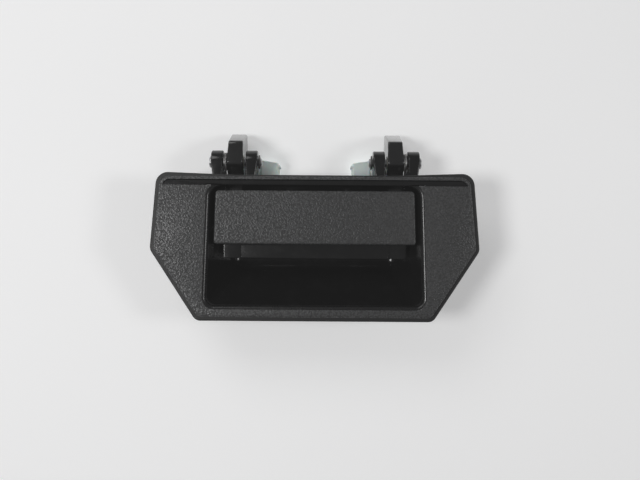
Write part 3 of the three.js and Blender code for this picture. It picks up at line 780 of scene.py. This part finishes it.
def housing_back():
    """Bosses, ribs and stop walls behind the face."""
    upper_z = TOP - 20
    lower_z = upper_z - 30
    boss_edge = 5.6  # where a rib meets its boss
    places = {"upper": ((HALF + OPEN_HALF) / 2, upper_z),
              "lower": (OPEN_HALF + WALL + 7, lower_z)}
    for name, sign in SIDES:
        for level, (x, z) in places.items():
            boss = [(3.9, PLATE_BACK - 0.3), (6.9, PLATE_BACK - 0.3), (6.3, PLATE_BACK + 0.6),
                    (6.0, PLATE_BACK + 1.6), (6.0, -0.35), (5.65, 0), (4.2, 0), (3.9, -0.3)]
            mould = Moulding().turned(boss, (x, 0, z), "Y", 48)
            handed(mould, sign).piece(
                f"boss_{name}_{level}", SMOOTH, "housing", "housing", "grained_plastic")
            insert(name, sign, level, x, z)
            rim = HALF - WALL - abs(z) * 0.2 - 6
            for part, start, end in (("in", open_half_at(z) - 0.3, x - boss_edge),
                                     ("out", x + boss_edge, rim)):
                if end - start > 2:
                    rib = block((start, PLATE_BACK - 0.2, z - 0.8),
                                (end, FLANGE_BACK - 1, z + 0.8), 0.3)
                    handed(rib, sign).piece(f"rib_{name}_{level}_{part}", SMOOTH,
                                            "housing", "housing", "grained_plastic")
        back = BUMPER_HIGH[1] - 1
        wall = block((INNER_KNUCKLE[1] - 1, back - 2.4, ROOF_BACK + 8),
                     (OUTER_KNUCKLE[0] + 1, back, BUMPER_HIGH[2] + 1), 0.4)
        handed(wall, sign).piece(
            f"stop_wall_{name}", SMOOTH, "housing", "housing", "grained_plastic")
        near, far = LEVER_OUT + SLOT_PLAY, OUTER_KNUCKLE[0] + 1
        for part, depth, top in (("", KNUCKLE, WEB_TOP), ("_front", -4.6, WEB_TOP + 6)):
            web = block((near, PIVOT_Y - KNUCKLE, 24), (far, PIVOT_Y + depth, top), 0.3)
            handed(web, sign).piece(
                f"tower_web{part}_{name}", SMOOTH, "housing", "housing", "grained_plastic")


def insert(name, sign, level, x, z):
    """A turned brass insert with a grooved waist and a threaded bore."""
    turns = 6
    crest, root = 2.1, 2.35
    thread = [(crest if i % 2 else root, -4.2 + 4.0 * i / (2 * turns))
              for i in range(2 * turns + 1)]
    profile = [(2.6, 0), (3.45, 0), (3.6, -0.15), (3.6, -1.6), (3.2, -2.0), (3.2, -2.6),
               (3.6, -3.0), (3.6, -4.25), (3.45, -4.4), (2.3, -4.4)] + thread
    mould = Moulding().turned(profile, (x, 0, z), "Y", 48)
    handed(mould, sign).piece(
        f"threaded_insert_{name}_{level}", BRASS, "housing",
        f"mount_insert_{name}_{level}", "brass")


def gasket():
    """The foam seal behind the flange, open in the middle."""
    width = 5.5
    right = [(FOOT_HALF - 2.5, BOTTOM + width, 3), (HALF - width, SIDE_CORNER_Z + 1.7, 3),
             (HALF - TOP_SET_IN - width, TOP - 2.9, 3)]
    inner = rounded(right + [(-x, z, r) for x, z, r in reversed(right)], 8)
    mould = Moulding()
    mould.plate(
        [housing_outline(0.5, 0.5, SHOULDER), inner],
        [edge_section(-1.35, 0, 0.15, 0.25, 3), edge_section(-1.35, 0, 0.15, 0.25, 3)],
    )
    mould.piece("foam_gasket", FOAM, "housing", "gasket", "foam")


# ---- Paddle -----------------------------------------------------------------------------------


def paddle_half_at(z):
    return open_half_at(z) - PADDLE_PLAY


def clear_of_rail(mould):
    """Draws the paddle's top back edge clear of the rail that it turns past."""
    for vert in mould.bm.verts:
        arm = Vector((vert.co.y - PIVOT_Y, vert.co.z - PIVOT_Z))
        if arm.length < TURN_RADIUS and vert.co.z < OPEN_TOP:
            arm *= TURN_RADIUS / arm.length
            vert.co.z = PIVOT_Z + arm.y
            vert.co.y = PIVOT_Y + arm.x


def paddle():
    top = PADDLE_HIGH[2]
    front = PADDLE_LOW[1]
    back = front + 3
    foot = top - PADDLE_HEIGHT
    plate = rounded([
        (paddle_half_at(foot), foot, 1.6), (paddle_half_at(top), top, 2.4),
        (-paddle_half_at(top), top, 2.4), (-paddle_half_at(foot), foot, 1.6)], 8)
    mould = Moulding()
    mould.plate([plate], [edge_section(front, back, 1.0, 0.6, 8)])
    clear_of_rail(mould)
    mould.piece("paddle_moulding", GRAINED, "paddle", "paddle", "grained_plastic")
    lip_back = front + 11.5
    lip_low = PADDLE_LOW[2]
    lip = rounded([
        (front + 0.8, foot + 0.35, 0.2), (lip_back - 2.4, foot + 0.35, 1.2),
        (lip_back - 2.6, lip_low, 1.1), (lip_back, lip_low, 1.1), (lip_back, foot + 2.9, 1.4),
        (front + 2.5, foot + 2.9, 0.5), (front + 0.8, foot + 2.2, 0.5)], 8)
    grip = 41.9  # half the length of the lip between its cheeks
    mould = Moulding().plate([lip], [edge_section(-grip, grip, 0.05, 0.05)], across_x)
    mould.piece("paddle_lip", SMOOTH, "paddle", "paddle", "grained_plastic")
    cheek = rounded([
        (front + 1.2, foot + 0.6, 0.2), (lip_back - 1.0, foot + 0.6, 1.0),
        (lip_back - 0.9, lip_low + 0.3, 0.5), (lip_back, lip_low + 0.3, 0.5),
        (lip_back, foot + 2.9, 1.4), (front + 2.5, foot + 2.9, 0.5)], 8)
    for name, sign in SIDES:
        end = Moulding()
        end.plate([cheek], [edge_section(grip - 0.4, 52.6, 0.2, 0.9)], across_x)
        handed(end, sign).piece(
            f"paddle_cheek_{name}", SMOOTH, "paddle", "paddle", "grained_plastic", 35)
        pad = block((LEVER_IN - 14, back - 0.5, LEVER_LOW[2] - 1),
                    (LEVER_OUT + 1, back + 3, LEVER_FOOT_TOP + 1), 0.5)
        handed(pad, sign).piece(
            f"paddle_seat_{name}", SMOOTH, "paddle", "paddle", "grained_plastic")


# ---- Levers and what they carry ---------------------------------------------------------------


def lever_outline():
    """Side view of a lever, Y and Z."""
    front = LEVER_LOW[1]
    back = front + 3
    y, z = PIVOT_Y, PIVOT_Z
    eye_y, eye_z = EYE
    return rounded([
        (front, LEVER_LOW[2], 0.6),
        (front, LEVER_FOOT_TOP, 0.4),
        (y - 2, z - 22.9, 1.0),
        (y - 2, z - 6.5, 4),
        (y - 6.9, z - 1.5, 4),
        (y - 6.3, z + 11.6, 2.4),
        (y + 19.5, z + 19.4, 3),
        (eye_y + 5.8, eye_z + 8, 3),
        (eye_y + 5.8, eye_z - 5.8, 5.5),
        (y + 10, eye_z - 3, 3),
        (y + 6, z - 8.5, 2),
        (y + 6, LEVER_FOOT_TOP - 3, 5),
        (back, LEVER_LOW[2] + 2, 3),
        (back, LEVER_LOW[2], 0.5),
    ], 8)


def levers():
    head_slant = 0.9  # the head narrows towards its front
    for name, sign in SIDES:
        mould = Moulding()
        bore = arc((PIVOT_Y, PIVOT_Z), 3.9, 0, 351, 39)
        eye = arc(EYE, 3.7, 0, 351, 39)
        mould.plate(
            [lever_outline(), bore, eye],
            [edge_section(LEVER_IN, LEVER_OUT, 0.9, 0.9),
             edge_section(LEVER_IN, LEVER_OUT, 0.3, 0.3, 3),
             edge_section(LEVER_IN, LEVER_OUT, 0.3, 0.3, 3)],
            across_x,
        )
        for vert in mould.bm.verts:
            if vert.co.z > PIVOT_Z + 8 and vert.co.y < PIVOT_Y and vert.co.x > LEVER_OUT - 3:
                vert.co.x -= head_slant
        handed(mould, sign).piece(
            f"bell_crank_{name}", PAINT, "paddle", f"lever_{name}", "lever_paint", 35)
        wing = block(LEVER_LOW, (LEVER_IN + 1, LEVER_LOW[1] + 3, LEVER_FOOT_TOP), 0.6)
        handed(wing, sign).piece(
            f"bell_crank_foot_{name}", PAINT, "paddle", f"lever_{name}", "lever_paint")
        bush_profile = [(2.8, LEVER_IN - 0.3), (3.5, LEVER_IN - 0.3), (3.6, LEVER_IN - 0.2),
                        (3.6, LEVER_OUT), (2.8, LEVER_OUT)]
        bush = Moulding().turned(bush_profile, (0, PIVOT_Y, PIVOT_Z))
        handed(bush, sign).piece(
            f"nylon_bush_{name}", BUSH, "paddle", f"hub_bush_{name}", "bush_nylon")


def dome(radius, start, height, edge=0.35):
    """The end of a turned piece: a rounded edge and a slight crown."""
    points = []
    for i in range(5):
        angle = math.pi / 2 * i / 4
        points.append((radius - edge * (1 - math.cos(angle)),
                       start + height * 0.6 * math.sin(angle)))
    points.append((radius * 0.5, start + height * 0.92))
    points.append((0, start + height))
    return points


def pins():
    end, head_end = PIN_LOW[0], PIN_HIGH[0]
    groove_in, groove_out, groove = end + 1, end + 2, 1.9
    head = head_end - 1.4
    profile = [(0, end), (2.1, end), (PIN, end + 0.4), (PIN, groove_in), (groove, groove_in),
               (groove, groove_out), (PIN, groove_out), (PIN, head), (3.0, head),
               (PIN_HEAD, head + 0.2)]
    profile += dome(PIN_HEAD, head + 0.5, 0.9)
    rim = arc((PIVOT_Y, PIVOT_Z), 4.25, -60, 240, 30)
    lobes = []
    for middle in (232, 170, 90, 10, -52):
        lobes += arc((PIVOT_Y, PIVOT_Z), 2.2, middle + 8, middle - 8, 3)
    for name, sign in SIDES:
        mould = Moulding().turned(profile, (0, PIVOT_Y, PIVOT_Z))
        handed(mould, sign).piece(
            f"steel_pin_{name}", ZINC, "housing", f"pivot_pin_{name}", "zinc_plated_steel", 30)
        ring = Moulding()
        ring.plate([rim + lobes], [edge_section(RING_LOW[0], RING_HIGH[0], 0.1, 0.1, 2)], across_x)
        handed(ring, sign).piece(
            f"e_ring_{name}", RING_STEEL, "housing", f"retaining_ring_{name}", "spring_steel")


def smooth_path(points, steps):
    """A Catmull-Rom path through the points."""
    path = []
    padded = [points[0], *points, points[-1]]
    for i in range(len(points) - 1):
        p0, p1, p2, p3 = (Vector(p) for p in padded[i:i + 4])
        for k in range(steps):
            t = k / steps
            path.append(0.5 * ((2 * p1) + (p2 - p0) * t + (2 * p0 - 5 * p1 + 4 * p2 - p3) * t ** 2
                               + (3 * p1 - p0 - 3 * p2 + p3) * t ** 3))
    path.append(Vector(points[-1]))
    return path


def springs():
    """Coils round the pivots, one leg against the housing and one hooked under the lever."""
    wire, coil, turns, pitch = 0.4, 5.2, 1.5, 0.85
    hook = 12
    start = LEVER_OUT + 0.15 + wire
    end = start + turns * pitch
    leg = KNUCKLE + 0.3 + wire
    low = -KNUCKLE - 5
    bend = 3 * wire
    under = -9.4 - wire
    points = [(end + 4, leg, low), (end + bend, leg, low), (end, leg, low + bend),
              (end, (leg + coil) / 2, -coil / 2)]
    steps = 30
    for i in range(steps + 1):
        angle = 2 * math.pi * turns * i / steps
        points.append((end - turns * pitch * i / steps,
                       coil * math.cos(angle), coil * math.sin(angle)))
    points += [(start, -coil * 0.6, -coil), (start, coil / 2, under), (start, hook - bend, under),
               (start - bend, hook, under), (start - 4.5, hook, under)]
    placed = [(x, PIVOT_Y + y, PIVOT_Z + z) for x, y, z in points]
    for name, sign in SIDES:
        mould = Moulding().tube(smooth_path(placed, 6), wire)
        still, moved = ((sign * x * MM, PIVOT_Y * MM, PIVOT_Z * MM) for x in (end, start))
        handed(mould, sign).piece(
            f"torsion_spring_{name}", SPRING_STEEL, "housing", f"return_spring_{name}",
            "spring_steel", 60, ("paddle", still, moved))


def clips():
    far = INNER_KNUCKLE[0] - 0.3
    near = far - 10.8
    y, z = EYE
    hole = 2.1  # radius of the rod's bore
    body = rounded([
        (far, z - 8, 1.6), (far, z + 6, 0.7), (near, z + 4.5, 0.9), (near, z + 3.2, 0.2),
        (near - 1.1, z + 3.0, 0.5), (near - 1.2, z + 1.3, 0.5),
        (near, z + 1.1, 0.3), (near, z - 8, 1.6)], 6)
    shank = [(hole, far - 1), (4.4, far - 1), (4.4, far + 0.4), (4.4, LEVER_IN - 0.6),
             (4.1, LEVER_IN - 0.3), (3.4, LEVER_IN - 0.2), (3.4, LEVER_OUT + 0.3),
             (4.0, LEVER_OUT + 0.35), (3.9, LEVER_OUT + 0.8),
             (3.3, LEVER_OUT + 1.3), (hole, LEVER_OUT + 1.3)]
    mouth = [(hole, near - 0.1), (2.3, near - 0.35), (3.0, near - 0.4), (3.3, near - 0.2),
             (3.3, near + 0.5), (hole, near + 0.5)]
    drill = [(0, near - 2), (hole, near - 2), (hole, far + 2), (0, far + 2)]
    for name, sign in SIDES:
        clip = f"rod_clip_{name}"
        saddle = Moulding().plate([body], [edge_section(y - 5, y + 5, 1.1, 1.1)])
        saddle = handed(saddle, sign).piece(
            f"nylon_clip_{name}", NYLON, clip, clip, "natural_nylon", 40)
        subtract(saddle, handed(Moulding().turned(drill, (0, y, z), "X", 32), sign))
        barrel = Moulding().turned(shank, (0, y, z)).turned(mouth, (0, y, z))
        for step in (-2.2, 2.2):
            rib = rounded([(y + step + 0.5, z - 7, 0.3), (y + step + 0.5, z - 4.2, 0.3),
                           (y + step - 0.5, z - 4.2, 0.3), (y + step - 0.5, z - 7, 0.3)], 3)
            barrel.plate([rib], [edge_section(near - 0.4, near + 1, 0.3, 0.1, 3)], across_x)
        handed(barrel, sign).piece(
            f"nylon_barrel_{name}", NYLON, clip, clip, "natural_nylon", 40)


def screw_head(mould, x, z, back):
    """A pan head with a cross recess, looking along +Y."""
    radii = [0.25, 0.5, 0.75, 1.0, 1.25, 1.5, 1.75, 2.0, 2.4, 2.8, 3.1, 3.3, 3.4]
    edge = radii[-1]
    slot_half, slot_reach = 0.42, 1.9
    sides = 64

    def crown(radius):
        return 2.2 * math.sqrt(max(0.0, 1 - (radius / edge) ** 2.6)) * 0.55 + 0.99

    tip = mould.bm.verts.new((x, back + crown(0) - 1.3, z))
    rings = []
    for radius in radii:
        ring = []
        for a, b in arc((0, 0), radius, 0, 360 * (sides - 1) / sides, sides - 1):
            in_cross = min(abs(a), abs(b)) < slot_half and radius < slot_reach
            depth = 1.3 * (1 - radius / 2.6) if in_cross else 0
            ring.append((x + a, back + crown(radius) - depth, z + b))
        rings.append(mould.ring(ring))
    for i in range(sides):
        mould.bm.faces.new((tip, rings[0][i], rings[0][(i + 1) % sides])).smooth = True
    for first, second in zip(rings, rings[1:]):
        mould.skin(first, second)
    base = mould.ring([(v.co.x, back, v.co.z) for v in rings[-1]])
    mould.skin(rings[-1], base)
    mould.flat(base)


def screws():
    x = (SCREW_LOW[0] + SCREW_HIGH[0]) / 2
    back = SCREW_HIGH[1] - 2.2
    for name, sign in SIDES:
        for level, low, high in (("upper", SCREW_LOW, SCREW_HIGH),
                                 ("lower", LOW_SCREW_LOW, LOW_SCREW_HIGH)):
            z = (low[2] + high[2]) / 2
            mould = Moulding()
            screw_head(mould, x, z, back)
            tip = low[1]
            shank = [(0, tip), (0.8, tip), (1.6, tip + 1.4), (1.6, back - 0.05), (0, back - 0.05)]
            mould.turned(shank, (x, 0, z), "Y", 24)
            handed(mould, sign).piece(
                f"pan_screw_{name}_{level}", ZINC, "paddle", f"lever_screw_{name}_{level}",
                "zinc_plated_steel", 45)


def bumpers():
    middle = (BUMPER_LOW[0] + BUMPER_HIGH[0]) / 2
    height = (BUMPER_LOW[2] + BUMPER_HIGH[2]) / 2
    for name, sign in SIDES:
        pad = block(BUMPER_LOW, (BUMPER_HIGH[0], BUMPER_LOW[1] + 1.4, BUMPER_HIGH[2]), 0.5)
        stem = [(0, BUMPER_LOW[1] + 1), (1.4, BUMPER_LOW[1] + 1),
                (1.4, BUMPER_HIGH[1] - 0.3), (0, BUMPER_HIGH[1])]
        pad.turned(stem, (middle, 0, height), "Y", 28)
        handed(pad, sign).piece(
            f"rubber_stop_{name}", RUBBER, "housing", f"rest_bumper_{name}", "rubber")


# ---- Camera, lights and stage -----------------------------------------------------------------


def camera():
    distance = 397.2  # from the face
    made = bpy.data.cameras.new("camera")
    made.lens = 40.2
    made.sensor_width = 36
    made.clip_start = 0.01
    view = bpy.data.objects.new("camera", made)
    view.location = (2.97 * MM, (FACE - distance) * MM, 4.7 * MM)
    view.rotation_euler = (math.radians(90), math.radians(-0.4), 0)
    bpy.context.collection.objects.link(view)
    bpy.context.scene.camera = view


def lamp(name, place, size, power):
    """A round soft lamp, turned towards the handle."""
    made = bpy.data.lights.new(name, "AREA")
    made.shape = "DISK"
    made.size = size
    made.energy = power
    light = bpy.data.objects.new(name, made)
    light.location = place
    light.rotation_euler = (-Vector(place)).to_track_quat("-Z", "Y").to_euler()
    bpy.context.collection.objects.link(light)


def backdrop():
    """A pale sheet that the handle lies on, seen from its front only."""
    f = Finish("pale_backdrop")
    cloud = f.noise(160, detail=1.0)
    f.set(Base_Color=f.blend(cloud, (0.78, 0.78, 0.78, 1), (0.81, 0.81, 0.81, 1)), Roughness=0.8,
          Emission_Color=(0.8, 0.8, 0.8, 1), Emission_Strength=0.3)
    back = f.node("ShaderNodeNewGeometry", output="Backfacing")
    clear = f.node("ShaderNodeBsdfTransparent")
    sheet = Value(f, f.shader.outputs[0])
    mix = f.node("ShaderNodeMixShader", None, {0: back, 1: sheet, 2: clear})
    f.tree.links.new(mix.socket, f.tree.nodes["Material Output"].inputs["Surface"])
    mesh = bpy.data.meshes.new("backdrop")
    half, depth = 1.2, LEVER_HIGH[1] * MM + 0.001
    corners = [(-half, depth, -half), (half, depth, -half),
               (half, depth, half), (-half, depth, half)]
    mesh.from_pydata(corners, [], [(0, 1, 2, 3)])
    mesh.materials.append(f.material)
    made = bpy.data.objects.new("backdrop", mesh)
    made.visible_shadow = False
    bpy.context.collection.objects.link(made)


def lights():
    """A dim room in front, a bright one behind, and four lamps."""
    world = bpy.data.worlds.new("studio")
    world.use_nodes = True
    n = Nodes(world.node_tree)
    way = n.node("ShaderNodeTexCoord", output="Generated")
    depth = n.node("ShaderNodeSeparateXYZ", None, {"Vector": way}, output=1)
    behind = n.ramp(depth * 0.5 + 0.5, [(0.35, 0.0), (0.62, 1.0)])
    background = world.node_tree.nodes["Background"]
    n.tree.links.new(n.blend(behind, (0.15, 0.15, 0.153, 1), (0.66, 0.67, 0.68, 1)).socket,
                     background.inputs["Color"])
    bpy.context.scene.world = world
    lamp("key", (-0.45, -0.75, 0.72), 0.6, 2.4)
    lamp("left", (-0.60, -1.0, -0.03), 0.32, 4.8)
    lamp("right", (0.80, -0.80, 0.02), 0.26, 2.1)
    lamp("behind", (0.35, 0.9, 0.6), 0.7, 7.0)


camera()
face_plate()
band_plate()
flange()
opening_edge()
recess_shell()
towers()
housing_back()
gasket()
paddle()
levers()
pins()
springs()
clips()
screws()
bumpers()
backdrop()
lights()
look = bpy.context.scene.view_settings
look.view_transform = "Standard"
look.use_curve_mapping = True
look.curve_mapping.black_level = (-0.009, -0.009, -0.009)  # a lens's slight veil
